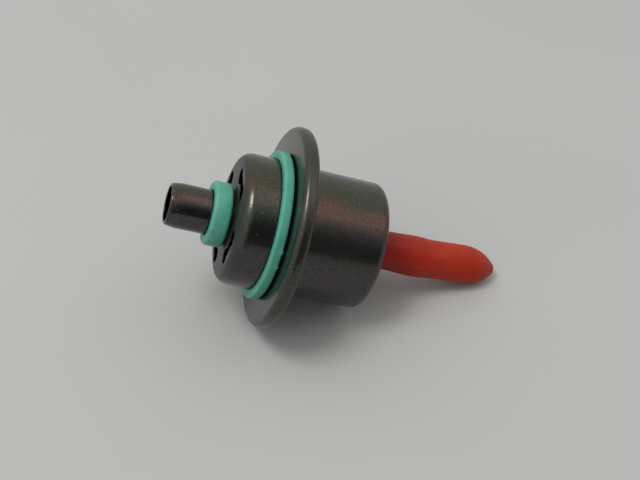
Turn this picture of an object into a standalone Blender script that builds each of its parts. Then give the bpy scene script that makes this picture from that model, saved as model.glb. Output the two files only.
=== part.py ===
# Fuel pressure regulator: a metal cartridge that drops into a fuel rail.
# Metres, +Z up. The axis lies along X, from the return tube towards the vacuum port.
# The origin is on the axis, at the front face of the flange.

import math

import bmesh
import bpy
from mathutils import Matrix, Vector

MM = 0.001

# Clearances
SEAT_GAP = 0.25 * MM
CUT_OVERRUN = 1.0 * MM
MERGE = 0.000001

# Flange, crimp and drawn sheet
FLANGE_RADIUS = 17.75 * MM
FLANGE_SHEET = 0.5 * MM
DRAWN_SHEET = 0.8 * MM
LIP_REACH = 2.4 * MM
RIM_EDGE = 1.0 * MM
RIM_TAPER = 0.15 * MM

# Fuel housing
FUEL_RADIUS = 11.4 * MM
FUEL_DEPTH = 7.85 * MM
FUEL_CORNER = 2.0 * MM
FUEL_FILLET = 0.6 * MM

# Inlet slots in the end face of the fuel housing
SLOT_COUNT = 4
SLOT_MARGIN = 0.4 * MM
SLOT_LOBE_RADIUS = 1.25 * MM
SLOT_NECK_HALF_WIDTH = 0.95 * MM
SLOT_HALF_ANGLE = math.radians(16)
SLOT_NECK_HALF_ANGLE = math.radians(4)
SLOT_FIRST_ANGLE = 0.0

# Return tube
TUBE_RADIUS = 3.85 * MM
TUBE_WALL = 0.5 * MM
TUBE_REACH = 18.4 * MM
TUBE_MOUTH_DRAW = 0.35 * MM
TUBE_MOUTH_LENGTH = 1.1 * MM
TUBE_BEAD_RISE = 1.05 * MM
TUBE_BEAD_LENGTH = 0.9 * MM
TUBE_INNER_LENGTH = 3.6 * MM

# Seal rings
SMALL_RING_WALL = 1.45 * MM
SMALL_RING_LENGTH = 3.1 * MM
SMALL_RING_CORNER = 0.65 * MM
LARGE_RING_WALL = 1.3 * MM
LARGE_RING_LENGTH = 1.75 * MM
LARGE_RING_CORNER = 0.45 * MM

# Spring housing
SPRING_HOUSING_RADIUS = 11.25 * MM
SPRING_HOUSING_END = 17.7 * MM
SPRING_HOUSING_CORNER = 1.5 * MM
SPRING_HOUSING_FILLET = 0.7 * MM

# Diaphragm
DIAPHRAGM_THICKNESS = 0.25 * MM
ROLL_SIDE_GAP = 0.35 * MM

# Valve
SEAT_BORE_RADIUS = 1.2 * MM
SEAT_LAND_WIDTH = 0.4 * MM
SEAT_LAND_HEIGHT = 0.4 * MM
SEAT_FLANGE_THICKNESS = 0.7 * MM
SEAT_SPIGOT_LENGTH = 2.6 * MM
BALL_RADIUS = 2.6 * MM
BALL_FLAT_DEPTH = 0.7 * MM
CARRIER_WALL = 0.75 * MM
CARRIER_HEAD_REACH = 1.4 * MM
CARRIER_HEAD_THICKNESS = 1.05 * MM
RIVET_HEAD_REACH = 1.0 * MM
RIVET_HEAD_THICKNESS = 0.7 * MM
RETAINER_THICKNESS = 0.45 * MM
RETAINER_SEAT_WIDTH = 0.75 * MM
PLATE_THICKNESS = 0.7 * MM
LOWER_PLATE_THICKNESS = 0.5 * MM
LOWER_PLATE_REACH = 2.75 * MM
LOWER_PLATE_CHAMFER = 0.1 * MM
SPRING_PLATE_RIM_HEIGHT = 1.3 * MM

# Main spring
WIRE_RADIUS = 0.75 * MM
CLOSED_TURN_GAP = 0.3 * MM
CLOSED_TURNS = 1
ACTIVE_TURNS = 3.5
SPRING_STEPS = 16

# Vacuum port and its cap
NIPPLE_RADIUS = 2.65 * MM
NIPPLE_WALL = 1.35 * MM
NIPPLE_REACH = 10.2 * MM
NIPPLE_BARB_RISE = 0.3 * MM
NIPPLE_BARB_LENGTH = 2.6 * MM
NIPPLE_COLLAR_REACH = 0.95 * MM
NIPPLE_COLLAR_THICKNESS = 0.8 * MM
SPRING_SEAT_RIM_HEIGHT = 1.2 * MM
CAP_WALL = 0.6 * MM
CAP_LENGTH = 24.9 * MM
CAP_TIP_LENGTH = 5.7 * MM
CAP_TIP_RADIUS = 0.95 * MM

# Sides of the turned pieces
LARGE_SIDES = 48
MIDDLE_SIDES = 28
SMALL_SIDES = 24
ARC_STEPS = 4
SMALL_ARC_STEPS = 2
LOBE_STEPS = 6
ROLL_STEPS = 6
BALL_STEPS = 10
TIP_STEPS = 7

# Places worked out from the values above
DIAPHRAGM_BACK = FLANGE_SHEET + SEAT_GAP
DIAPHRAGM_FRONT = DIAPHRAGM_BACK + DIAPHRAGM_THICKNESS
SPRING_FLANGE_BACK = DIAPHRAGM_FRONT + SEAT_GAP
SPRING_FLANGE_FRONT = SPRING_FLANGE_BACK + FLANGE_SHEET
FLANGE_THICKNESS = SPRING_FLANGE_FRONT + SEAT_GAP + FLANGE_SHEET
RIM_RADIUS = FLANGE_THICKNESS / 2
RIM_CENTRE_RADIUS = FLANGE_RADIUS - RIM_RADIUS
LIP_RADIUS = RIM_CENTRE_RADIUS - LIP_REACH
FUEL_FACE = -FUEL_DEPTH
SLOT_MID_RADIUS = FUEL_RADIUS - FUEL_CORNER - SLOT_MARGIN - SLOT_LOBE_RADIUS
HOLE_RADIUS = TUBE_RADIUS + SEAT_GAP
SMALL_RING_RADIUS = HOLE_RADIUS + SMALL_RING_WALL
LARGE_RING_BORE_RADIUS = FUEL_RADIUS + SEAT_GAP
LARGE_RING_RADIUS = LARGE_RING_BORE_RADIUS + LARGE_RING_WALL
SPRING_HOUSING_INSIDE = SPRING_HOUSING_END - DRAWN_SHEET
BEAD_BACK = FUEL_FACE + DRAWN_SHEET + SEAT_GAP
TUBE_INNER_END = BEAD_BACK + TUBE_INNER_LENGTH
TUBE_BORE_RADIUS = TUBE_RADIUS - TUBE_WALL
TUBE_MOUTH_RADIUS = TUBE_RADIUS - TUBE_MOUTH_DRAW
TUBE_BEAD_RADIUS = TUBE_RADIUS + TUBE_BEAD_RISE
SEAT_FLANGE_BACK = TUBE_INNER_END + SEAT_GAP
SEAT_FLANGE_FRONT = SEAT_FLANGE_BACK + SEAT_FLANGE_THICKNESS
SEAT_TOP = SEAT_FLANGE_FRONT + SEAT_LAND_HEIGHT
BALL_FLAT = SEAT_TOP + SEAT_GAP
BALL_CENTRE = BALL_FLAT + BALL_RADIUS - BALL_FLAT_DEPTH
POCKET_RADIUS = BALL_RADIUS + SEAT_GAP
POCKET_END = BALL_CENTRE + BALL_RADIUS + SEAT_GAP
SHANK_RADIUS = POCKET_RADIUS + CARRIER_WALL
SHANK_HOLE_RADIUS = SHANK_RADIUS + SEAT_GAP
LOWER_PLATE_FRONT = DIAPHRAGM_BACK - SEAT_GAP
LOWER_PLATE_BACK = LOWER_PLATE_FRONT - LOWER_PLATE_THICKNESS
CARRIER_HEAD_FRONT = LOWER_PLATE_BACK - SEAT_GAP
CARRIER_HEAD_BACK = CARRIER_HEAD_FRONT - CARRIER_HEAD_THICKNESS
CARRIER_HEAD_RADIUS = SHANK_RADIUS + CARRIER_HEAD_REACH
LOWER_PLATE_RADIUS = SHANK_HOLE_RADIUS + LOWER_PLATE_REACH
RETAINER_RADIUS = POCKET_RADIUS + RETAINER_SEAT_WIDTH
COUNTERBORE_RADIUS = RETAINER_RADIUS + SEAT_GAP
COUNTERBORE_END = CARRIER_HEAD_BACK + RETAINER_THICKNESS + SEAT_GAP
SPRING_PLATE_BACK = DIAPHRAGM_FRONT + SEAT_GAP
SPRING_PLATE_FRONT = SPRING_PLATE_BACK + PLATE_THICKNESS
RIVET_HEAD_BACK = SPRING_PLATE_FRONT + SEAT_GAP
RIVET_HEAD_FRONT = RIVET_HEAD_BACK + RIVET_HEAD_THICKNESS
RIVET_HEAD_RADIUS = SHANK_RADIUS + RIVET_HEAD_REACH
SPRING_MID_RADIUS = RIVET_HEAD_RADIUS + SEAT_GAP + WIRE_RADIUS
SPRING_OUTER_RADIUS = SPRING_MID_RADIUS + WIRE_RADIUS
SPRING_RIM_RADIUS = SPRING_OUTER_RADIUS + SEAT_GAP
PLATE_OUTER_RADIUS = SPRING_RIM_RADIUS + PLATE_THICKNESS
CLOSED_PITCH = 2 * WIRE_RADIUS + CLOSED_TURN_GAP
SPRING_HOUSING_BORE_RADIUS = SPRING_HOUSING_RADIUS - DRAWN_SHEET
ROLL_MID_RADIUS = (PLATE_OUTER_RADIUS + SPRING_HOUSING_BORE_RADIUS) / 2
ROLL_OUTER = (SPRING_HOUSING_BORE_RADIUS - PLATE_OUTER_RADIUS) / 2 - ROLL_SIDE_GAP
ROLL_INNER = ROLL_OUTER - DIAPHRAGM_THICKNESS
COLLAR_FRONT = SPRING_HOUSING_INSIDE - SEAT_GAP
COLLAR_BACK = COLLAR_FRONT - NIPPLE_COLLAR_THICKNESS
NIPPLE_HOLE_RADIUS = NIPPLE_RADIUS + SEAT_GAP
NIPPLE_END = SPRING_HOUSING_END + NIPPLE_REACH
NIPPLE_BORE_RADIUS = NIPPLE_RADIUS - NIPPLE_WALL
NIPPLE_BARB_RADIUS = NIPPLE_RADIUS + NIPPLE_BARB_RISE
NIPPLE_COLLAR_RADIUS = NIPPLE_RADIUS + NIPPLE_COLLAR_REACH
SPRING_SEAT_FRONT = SPRING_HOUSING_INSIDE - SEAT_GAP
SPRING_SEAT_BACK = SPRING_SEAT_FRONT - PLATE_THICKNESS
CAP_BACK = SPRING_HOUSING_END + SEAT_GAP
CAP_END = SPRING_HOUSING_END + CAP_LENGTH
CAP_BORE_RADIUS = NIPPLE_RADIUS + SEAT_GAP
CAP_RADIUS = CAP_BORE_RADIUS + CAP_WALL


def new_collection(name):
    collection = bpy.data.collections.new(name)
    bpy.context.scene.collection.children.link(collection)
    return collection


def clear_scene():
    for old in list(bpy.data.objects):
        bpy.data.objects.remove(old, do_unlink=True)


clear_scene()
PARTS = new_collection("fuel_pressure_regulator")
CUTTERS = new_collection("cutters")


def material(name, colour, roughness, metallic):
    made = bpy.data.materials.new(name)
    made.use_nodes = True
    shader = made.node_tree.nodes["Principled BSDF"]
    shader.inputs["Base Color"].default_value = (*colour, 1.0)
    shader.inputs["Roughness"].default_value = roughness
    shader.inputs["Metallic"].default_value = metallic
    return made


PASSIVATED = ((0.17, 0.165, 0.14), 0.33, 1.0)
TUBE_STEEL = ((0.15, 0.14, 0.13), 0.28, 1.0)
PLAIN_STEEL = ((0.45, 0.45, 0.44), 0.35, 1.0)
SPRING_STEEL = ((0.3, 0.29, 0.28), 0.4, 1.0)
BRASS = ((0.55, 0.42, 0.2), 0.35, 1.0)
SEAL_RUBBER = ((0.08, 0.36, 0.25), 0.5, 0.0)
DIAPHRAGM_RUBBER = ((0.04, 0.04, 0.045), 0.7, 0.0)
RED_VINYL = ((0.33, 0.03, 0.015), 0.35, 0.0)


def make_axis(name, parent=None):
    """An empty whose own Z lies along the regulator's axis."""
    axis = bpy.data.objects.new(name, None)
    PARTS.objects.link(axis)
    if parent is None:
        axis.rotation_euler = (0.0, math.pi / 2, 0.0)
    axis.parent = parent
    return axis


HOUSING_AXIS = make_axis("housing_axis")
VALVE_AXIS = make_axis("valve_axis", HOUSING_AXIS)


def arc(centre_station, centre_radius, radius, start, end, steps=ARC_STEPS):
    """Points (radius, station) of an arc. The angle runs from +radius towards +station."""
    points = []
    for step in range(steps + 1):
        angle = math.radians(start + (end - start) * step / steps)
        points.append(
            (
                centre_radius + radius * math.cos(angle),
                centre_station + radius * math.sin(angle),
            )
        )
    return points


def ring_section(inner, outer, back, front, corner, steps=ARC_STEPS):
    """Closed section of a ring with four round corners, outer side first."""
    section = arc(front - corner, outer - corner, corner, 90, 0, steps)
    section += arc(back + corner, outer - corner, corner, 0, -90, steps)
    section += arc(back + corner, inner + corner, corner, -90, -180, steps)
    section += arc(front - corner, inner + corner, corner, 180, 90, steps)
    return section


def turned(name, section, sides, look, parent, closed=True):
    """Turns a section about the axis. The section runs down its outer side, front to back."""
    mesh = bpy.data.meshes.new(name)
    points = [(radius, 0.0, station) for radius, station in section]
    edges = [(index, index + 1) for index in range(len(points) - 1)]
    if closed:
        edges.append((len(points) - 1, 0))
    mesh.from_pydata(points, edges, [])
    made = bpy.data.objects.new(name, mesh)
    PARTS.objects.link(made)
    made.parent = parent
    screw = made.modifiers.new("turn", "SCREW")
    screw.axis = "Z"
    screw.angle = 2 * math.pi
    screw.steps = sides
    screw.render_steps = sides
    screw.use_merge_vertices = True
    screw.merge_threshold = MERGE
    screw.use_smooth_shade = True
    mesh.materials.append(material(name, *look))
    return made


def add_fuel_housing():
    """Deep-drawn cup. Its flange wraps round the spring housing's flange and closes in a lip."""
    corner_station = FUEL_FACE + FUEL_CORNER
    corner_radius = FUEL_RADIUS - FUEL_CORNER
    inner_corner = FUEL_CORNER - DRAWN_SHEET
    wall_inside = FUEL_RADIUS - DRAWN_SHEET
    section = [(LIP_RADIUS, FLANGE_THICKNESS)]
    front_edge = FLANGE_RADIUS - RIM_EDGE
    back_edge = front_edge - RIM_TAPER
    section += arc(FLANGE_THICKNESS - RIM_EDGE, back_edge, RIM_EDGE, 90, 0)
    section += arc(RIM_EDGE, front_edge, RIM_EDGE, 0, -90)
    section += arc(
        -FUEL_FILLET, FUEL_RADIUS + FUEL_FILLET, FUEL_FILLET, 90, 180, SMALL_ARC_STEPS
    )
    section += arc(corner_station, corner_radius, FUEL_CORNER, 0, -90, ARC_STEPS + 1)
    section.append((HOLE_RADIUS, FUEL_FACE))
    section.append((HOLE_RADIUS, FUEL_FACE + DRAWN_SHEET))
    section += arc(corner_station, corner_radius, inner_corner, -90, 0, SMALL_ARC_STEPS)
    section += [(wall_inside, -FUEL_FILLET), (wall_inside + FUEL_FILLET, FLANGE_SHEET)]
    section += arc(
        RIM_RADIUS, RIM_CENTRE_RADIUS, RIM_RADIUS - FLANGE_SHEET, -90, 90, SMALL_ARC_STEPS
    )
    section.append((LIP_RADIUS, FLANGE_THICKNESS - FLANGE_SHEET))
    cup = turned("fuel_housing", section, LARGE_SIDES, PASSIVATED, HOUSING_AXIS)
    for index in range(SLOT_COUNT):
        angle = SLOT_FIRST_ANGLE + 2 * math.pi * index / SLOT_COUNT
        cut = cup.modifiers.new(f"slot_{index + 1}", "BOOLEAN")
        cut.operation = "DIFFERENCE"
        cut.solver = "EXACT"
        cut.object = add_slot_cutter(f"slot_cutter_{index + 1}", angle)


def slot_outline():
    """Outline of one slot about angle zero: two round lobes joined by a narrower neck."""
    outline = []
    lobes = ((SLOT_HALF_ANGLE, -1), (-SLOT_HALF_ANGLE, 1))
    for place, turn in lobes:
        centre = Vector((math.cos(place), math.sin(place))) * SLOT_MID_RADIUS
        first = place + (0 if turn < 0 else math.pi)
        for step in range(LOBE_STEPS + 1):
            angle = first + math.pi * step / LOBE_STEPS
            outline.append(
                centre + Vector((math.cos(angle), math.sin(angle))) * SLOT_LOBE_RADIUS
            )
        side = -1 if turn < 0 else 1
        neck = SLOT_MID_RADIUS + side * SLOT_NECK_HALF_WIDTH
        for end in (-1, 1):
            angle = side * end * SLOT_NECK_HALF_ANGLE
            outline.append(Vector((math.cos(angle), math.sin(angle))) * neck)
    return outline


def add_slot_cutter(name, angle):
    """A prism of the slot's outline that passes right through the end face."""
    shape = bmesh.new()
    back = FUEL_FACE - CUT_OVERRUN
    depth = DRAWN_SHEET + 2 * CUT_OVERRUN
    corners = [shape.verts.new((point.x, point.y, back)) for point in slot_outline()]
    face = shape.faces.new(corners)
    side = bmesh.ops.extrude_face_region(shape, geom=[face])
    raised = [item for item in side["geom"] if isinstance(item, bmesh.types.BMVert)]
    bmesh.ops.translate(shape, verts=raised, vec=(0.0, 0.0, depth))
    bmesh.ops.recalc_face_normals(shape, faces=shape.faces)
    bmesh.ops.rotate(
        shape,
        verts=shape.verts,
        cent=(0.0, 0.0, 0.0),
        matrix=Matrix.Rotation(angle, 3, "Z"),
    )
    mesh = bpy.data.meshes.new(name)
    shape.to_mesh(mesh)
    shape.free()
    cutter = bpy.data.objects.new(name, mesh)
    CUTTERS.objects.link(cutter)
    cutter.parent = HOUSING_AXIS
    cutter.hide_render = True
    cutter.display_type = "WIRE"
    return cutter


def add_return_tube():
    """Thin tube with its mouth drawn in, and a bead that rests inside the end face."""
    mouth = -TUBE_REACH
    mouth_bore = TUBE_MOUTH_RADIUS - TUBE_WALL
    edge = TUBE_WALL / 2
    bead_front = BEAD_BACK + TUBE_BEAD_LENGTH
    section = [(TUBE_RADIUS, TUBE_INNER_END), (TUBE_RADIUS, bead_front)]
    section += arc(
        (BEAD_BACK + bead_front) / 2,
        TUBE_BEAD_RADIUS - TUBE_BEAD_LENGTH / 2,
        TUBE_BEAD_LENGTH / 2,
        90,
        -90,
    )
    section += [(TUBE_RADIUS, BEAD_BACK), (TUBE_RADIUS, mouth + TUBE_MOUTH_LENGTH)]
    section += arc(mouth + edge, TUBE_MOUTH_RADIUS - edge, edge, 0, -180)
    section += [
        (mouth_bore, mouth + edge * 2),
        (TUBE_BORE_RADIUS, mouth + TUBE_MOUTH_LENGTH + edge),
        (TUBE_BORE_RADIUS, TUBE_INNER_END),
    ]
    turned("return_tube", section, MIDDLE_SIDES, TUBE_STEEL, HOUSING_AXIS)


def add_seal_rings():
    small_front = FUEL_FACE - SEAT_GAP
    small = ring_section(
        HOLE_RADIUS,
        SMALL_RING_RADIUS,
        small_front - SMALL_RING_LENGTH,
        small_front,
        SMALL_RING_CORNER,
        SMALL_ARC_STEPS + 1,
    )
    turned("small_seal_ring", small, MIDDLE_SIDES, SEAL_RUBBER, HOUSING_AXIS)
    large_front = -SEAT_GAP
    large = ring_section(
        LARGE_RING_BORE_RADIUS,
        LARGE_RING_RADIUS,
        large_front - LARGE_RING_LENGTH,
        large_front,
        LARGE_RING_CORNER,
        SMALL_ARC_STEPS,
    )
    turned("large_seal_ring", large, LARGE_SIDES, SEAL_RUBBER, HOUSING_AXIS)


def add_spring_housing():
    """Deep-drawn housing, with a flange in the crimp and a hole for the vacuum port."""
    corner_station = SPRING_HOUSING_END - SPRING_HOUSING_CORNER
    corner_radius = SPRING_HOUSING_RADIUS - SPRING_HOUSING_CORNER
    inner_corner = SPRING_HOUSING_CORNER - DRAWN_SHEET
    fillet_station = SPRING_FLANGE_FRONT + SPRING_HOUSING_FILLET
    section = [(NIPPLE_HOLE_RADIUS, SPRING_HOUSING_END)]
    section += arc(corner_station, corner_radius, SPRING_HOUSING_CORNER, 90, 0)
    section += arc(
        fillet_station,
        SPRING_HOUSING_RADIUS + SPRING_HOUSING_FILLET,
        SPRING_HOUSING_FILLET,
        180,
        270,
        SMALL_ARC_STEPS,
    )
    section += [
        (RIM_CENTRE_RADIUS, SPRING_FLANGE_FRONT),
        (RIM_CENTRE_RADIUS, SPRING_FLANGE_BACK),
        (SPRING_HOUSING_BORE_RADIUS + SPRING_HOUSING_FILLET, SPRING_FLANGE_BACK),
        (SPRING_HOUSING_BORE_RADIUS, fillet_station),
    ]
    section += arc(corner_station, corner_radius, inner_corner, 0, 90, SMALL_ARC_STEPS)
    section.append((NIPPLE_HOLE_RADIUS, SPRING_HOUSING_INSIDE))
    turned("spring_housing", section, LARGE_SIDES, PASSIVATED, HOUSING_AXIS)


def add_diaphragm():
    """Thin diaphragm: a flat middle, one rolled wave, and a rim clamped in the crimp."""
    section = [(RIM_CENTRE_RADIUS, DIAPHRAGM_FRONT), (RIM_CENTRE_RADIUS, DIAPHRAGM_BACK)]
    section += arc(DIAPHRAGM_BACK, ROLL_MID_RADIUS, ROLL_INNER, 0, 180, ROLL_STEPS)
    section += [(SHANK_HOLE_RADIUS, DIAPHRAGM_BACK), (SHANK_HOLE_RADIUS, DIAPHRAGM_FRONT)]
    section += arc(DIAPHRAGM_FRONT, ROLL_MID_RADIUS, ROLL_OUTER, 180, 0, ROLL_STEPS)
    turned("diaphragm", section, MIDDLE_SIDES, DIAPHRAGM_RUBBER, HOUSING_AXIS)


def add_valve_seat():
    """Seat pressed into the tube's inner end, with a raised land round its bore."""
    spigot_radius = TUBE_BORE_RADIUS - SEAT_GAP
    land_radius = SEAT_BORE_RADIUS + SEAT_LAND_WIDTH
    section = [
        (SEAT_BORE_RADIUS, SEAT_TOP),
        (land_radius, SEAT_TOP),
        (land_radius + SEAT_LAND_HEIGHT, SEAT_FLANGE_FRONT),
        (TUBE_RADIUS, SEAT_FLANGE_FRONT),
        (TUBE_RADIUS, SEAT_FLANGE_BACK),
        (spigot_radius, SEAT_FLANGE_BACK),
        (spigot_radius, TUBE_INNER_END - SEAT_SPIGOT_LENGTH),
        (SEAT_BORE_RADIUS, TUBE_INNER_END - SEAT_SPIGOT_LENGTH),
    ]
    turned("valve_seat", section, SMALL_SIDES, BRASS, HOUSING_AXIS)


def add_valve_ball():
    """Ball with a ground flat that closes on the seat."""
    flat_angle = math.degrees(math.asin((BALL_RADIUS - BALL_FLAT_DEPTH) / BALL_RADIUS))
    section = arc(BALL_CENTRE, 0.0, BALL_RADIUS, 90, -flat_angle, BALL_STEPS)
    section.append((0.0, BALL_FLAT))
    turned("valve_ball", section, SMALL_SIDES, PLAIN_STEEL, VALVE_AXIS, closed=False)


def add_valve_carrier():
    """Turned rivet: a head under the diaphragm, a shank through it, and a formed head above."""
    shank_top = POCKET_END + CARRIER_WALL
    section = [
        (0.0, shank_top),
        (SHANK_RADIUS - CARRIER_WALL / 2, shank_top),
        (SHANK_RADIUS, shank_top - CARRIER_WALL / 2),
        (SHANK_RADIUS, RIVET_HEAD_FRONT),
        (RIVET_HEAD_RADIUS, RIVET_HEAD_FRONT),
        (RIVET_HEAD_RADIUS, RIVET_HEAD_BACK),
        (SHANK_RADIUS, RIVET_HEAD_BACK),
        (SHANK_RADIUS, CARRIER_HEAD_FRONT),
        (CARRIER_HEAD_RADIUS, CARRIER_HEAD_FRONT),
        (CARRIER_HEAD_RADIUS, CARRIER_HEAD_BACK),
        (COUNTERBORE_RADIUS, CARRIER_HEAD_BACK),
        (COUNTERBORE_RADIUS, COUNTERBORE_END),
        (POCKET_RADIUS, COUNTERBORE_END),
        (POCKET_RADIUS, POCKET_END),
        (0.0, POCKET_END),
    ]
    turned("valve_carrier", section, SMALL_SIDES, BRASS, VALVE_AXIS, closed=False)


def ball_clearance_radius(station):
    """Radius that just clears the ball at a station along the axis."""
    rise = station - BALL_CENTRE
    return math.sqrt(BALL_RADIUS**2 - rise**2) + SEAT_GAP


def add_ball_retainer():
    """Ring staked in the carrier's mouth, coned to hold the ball."""
    back = CARRIER_HEAD_BACK
    front = back + RETAINER_THICKNESS
    section = [
        (RETAINER_RADIUS, front),
        (RETAINER_RADIUS, back),
        (ball_clearance_radius(back), back),
        (ball_clearance_radius(front), front),
    ]
    turned("ball_retainer", section, SMALL_SIDES, PLAIN_STEEL, VALVE_AXIS)


def add_plates():
    """The plates that carry the diaphragm's middle."""
    lower = ring_section(
        SHANK_HOLE_RADIUS,
        LOWER_PLATE_RADIUS,
        LOWER_PLATE_BACK,
        LOWER_PLATE_FRONT,
        LOWER_PLATE_CHAMFER,
        1,
    )
    turned("lower_plate", lower, MIDDLE_SIDES, PLAIN_STEEL, VALVE_AXIS)
    rim_top = SPRING_PLATE_FRONT + SPRING_PLATE_RIM_HEIGHT
    section = [(SPRING_RIM_RADIUS, rim_top), (PLATE_OUTER_RADIUS, rim_top)]
    section += arc(SPRING_PLATE_BACK + PLATE_THICKNESS, SPRING_RIM_RADIUS, PLATE_THICKNESS, 0, -90)
    section += [
        (SHANK_HOLE_RADIUS, SPRING_PLATE_BACK),
        (SHANK_HOLE_RADIUS, SPRING_PLATE_FRONT),
        (SPRING_RIM_RADIUS, SPRING_PLATE_FRONT),
    ]
    turned("spring_plate", section, MIDDLE_SIDES, PLAIN_STEEL, VALVE_AXIS)


def add_spring_seat():
    """Dished seat that holds the spring's far end, round the port's collar."""
    rim_back = SPRING_SEAT_BACK - SPRING_SEAT_RIM_HEIGHT
    hole = NIPPLE_COLLAR_RADIUS + SEAT_GAP
    section = [(hole, SPRING_SEAT_FRONT)]
    section += arc(SPRING_SEAT_BACK, SPRING_RIM_RADIUS, PLATE_THICKNESS, 90, 0)
    section += [
        (PLATE_OUTER_RADIUS, rim_back),
        (SPRING_RIM_RADIUS, rim_back),
        (SPRING_RIM_RADIUS, SPRING_SEAT_BACK),
        (hole, SPRING_SEAT_BACK),
    ]
    turned("spring_seat", section, MIDDLE_SIDES, PLAIN_STEEL, HOUSING_AXIS)


def spring_route():
    """Points along the wire: a closed turn at each end and open turns between."""
    bottom = SPRING_PLATE_FRONT + SEAT_GAP + WIRE_RADIUS
    top = SPRING_SEAT_BACK - SEAT_GAP - WIRE_RADIUS
    closed_rise = CLOSED_PITCH * CLOSED_TURNS
    open_rise = top - bottom - 2 * closed_rise
    turns = 2 * CLOSED_TURNS + ACTIVE_TURNS
    count = round(turns * SPRING_STEPS)
    points = []
    for step in range(count + 1):
        turn = turns * step / count
        opened = min(max(turn - CLOSED_TURNS, 0.0), ACTIVE_TURNS)
        closed = turn - opened
        station = bottom + closed * CLOSED_PITCH + opened * open_rise / ACTIVE_TURNS
        angle = 2 * math.pi * turn
        points.append(
            (
                SPRING_MID_RADIUS * math.cos(angle),
                SPRING_MID_RADIUS * math.sin(angle),
                station,
            )
        )
    return points


def add_main_spring():
    route = spring_route()
    curve = bpy.data.curves.new("main_spring", "CURVE")
    curve.dimensions = "3D"
    curve.bevel_depth = WIRE_RADIUS
    curve.bevel_resolution = 2
    curve.use_fill_caps = True
    wire = curve.splines.new("POLY")
    wire.points.add(len(route) - 1)
    for point, place in zip(wire.points, route):
        point.co = (*place, 1.0)
    spring = bpy.data.objects.new("main_spring", curve)
    PARTS.objects.link(spring)
    spring.parent = HOUSING_AXIS
    curve.materials.append(material("main_spring", *SPRING_STEEL))


def add_vacuum_nipple():
    """Tube with a collar inside the housing and one barb near its end."""
    barb_back = NIPPLE_END - NIPPLE_BARB_LENGTH
    lead = (NIPPLE_RADIUS + NIPPLE_BORE_RADIUS) / 2
    section = [
        (NIPPLE_BORE_RADIUS, NIPPLE_END),
        (lead, NIPPLE_END),
        (NIPPLE_BARB_RADIUS, barb_back + NIPPLE_BARB_LENGTH / 4),
        (NIPPLE_BARB_RADIUS, barb_back),
        (NIPPLE_RADIUS, barb_back - NIPPLE_BARB_LENGTH / 4),
        (NIPPLE_RADIUS, COLLAR_FRONT),
        (NIPPLE_COLLAR_RADIUS, COLLAR_FRONT),
        (NIPPLE_COLLAR_RADIUS, COLLAR_BACK),
        (NIPPLE_BORE_RADIUS, COLLAR_BACK),
    ]
    turned("vacuum_nipple", section, SMALL_SIDES, PLAIN_STEEL, HOUSING_AXIS)


def add_vacuum_cap():
    """Soft cap stretched over the barb. Its far end closes in a blunt point."""
    barb_back = NIPPLE_END - NIPPLE_BARB_LENGTH
    stretched = NIPPLE_BARB_RADIUS + SEAT_GAP
    tip_start = CAP_END - CAP_TIP_LENGTH
    bore_end = tip_start - CAP_WALL
    section = [(0.0, CAP_END)]
    section += tip_curve(CAP_TIP_RADIUS, CAP_RADIUS, tip_start, CAP_END)
    section += [
        (CAP_RADIUS, NIPPLE_END + NIPPLE_BARB_LENGTH),
        (stretched + CAP_WALL, NIPPLE_END - NIPPLE_BARB_LENGTH / 2),
        (stretched + CAP_WALL, barb_back - NIPPLE_BARB_LENGTH / 4),
        (CAP_RADIUS, barb_back - NIPPLE_BARB_LENGTH),
        (CAP_RADIUS, CAP_BACK),
        (CAP_BORE_RADIUS, CAP_BACK),
        (CAP_BORE_RADIUS, barb_back - NIPPLE_BARB_LENGTH),
        (stretched, barb_back - NIPPLE_BARB_LENGTH / 4),
        (stretched, NIPPLE_END - NIPPLE_BARB_LENGTH / 2),
        (CAP_BORE_RADIUS, NIPPLE_END + NIPPLE_BARB_LENGTH),
        (CAP_BORE_RADIUS, bore_end),
        (0.0, bore_end + CAP_WALL),
    ]
    turned("vacuum_cap", section, MIDDLE_SIDES, RED_VINYL, HOUSING_AXIS, closed=False)


def tip_curve(tip_radius, full_radius, start, end):
    """Outer side of the cap's tip, a parabola from the point back to the full radius."""
    points = []
    for step in range(TIP_STEPS + 1):
        share = 1 - step / TIP_STEPS
        radius = tip_radius + (full_radius - tip_radius) * (1 - share**2)
        points.append((radius, start + (end - start) * share))
    return points


add_fuel_housing()
add_return_tube()
add_seal_rings()
add_spring_housing()
add_diaphragm()
add_valve_seat()
add_valve_ball()
add_valve_carrier()
add_ball_retainer()
add_plates()
add_spring_seat()
add_main_spring()
add_vacuum_nipple()
add_vacuum_cap()
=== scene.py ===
"""Looks of the fuel pressure regulator, lying on a pale table as in the photograph.

The shells, seal rings, tube, cap and diaphragm are modelled again in fine detail over
their CAD nodes. The coil spring is a copy of its CAD mesh.
The other inner pieces keep their CAD mesh and get a finish of their own.

Lengths are in millimetres where a name ends in _MM, and in metres everywhere else. A
station is a place on the axis, counted from the flange's front face towards the cap.
"""

import math

import bmesh
import bpy
from mathutils import Matrix, Vector


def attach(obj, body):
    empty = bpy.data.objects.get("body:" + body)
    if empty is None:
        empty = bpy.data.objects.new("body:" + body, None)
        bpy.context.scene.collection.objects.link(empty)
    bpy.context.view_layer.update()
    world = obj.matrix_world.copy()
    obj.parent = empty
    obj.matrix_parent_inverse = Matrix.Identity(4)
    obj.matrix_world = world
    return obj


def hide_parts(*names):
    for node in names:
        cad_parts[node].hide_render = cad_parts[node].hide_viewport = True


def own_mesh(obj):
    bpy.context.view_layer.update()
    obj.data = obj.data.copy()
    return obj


MM = 0.001
QUARTER_TURN = math.pi / 2
FULL_TURN = 2 * math.pi
ON_AXIS = (0.0, 0.0, 0.0)
ALONG_AXIS = (1.0, 0.0, 0.0)

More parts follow.
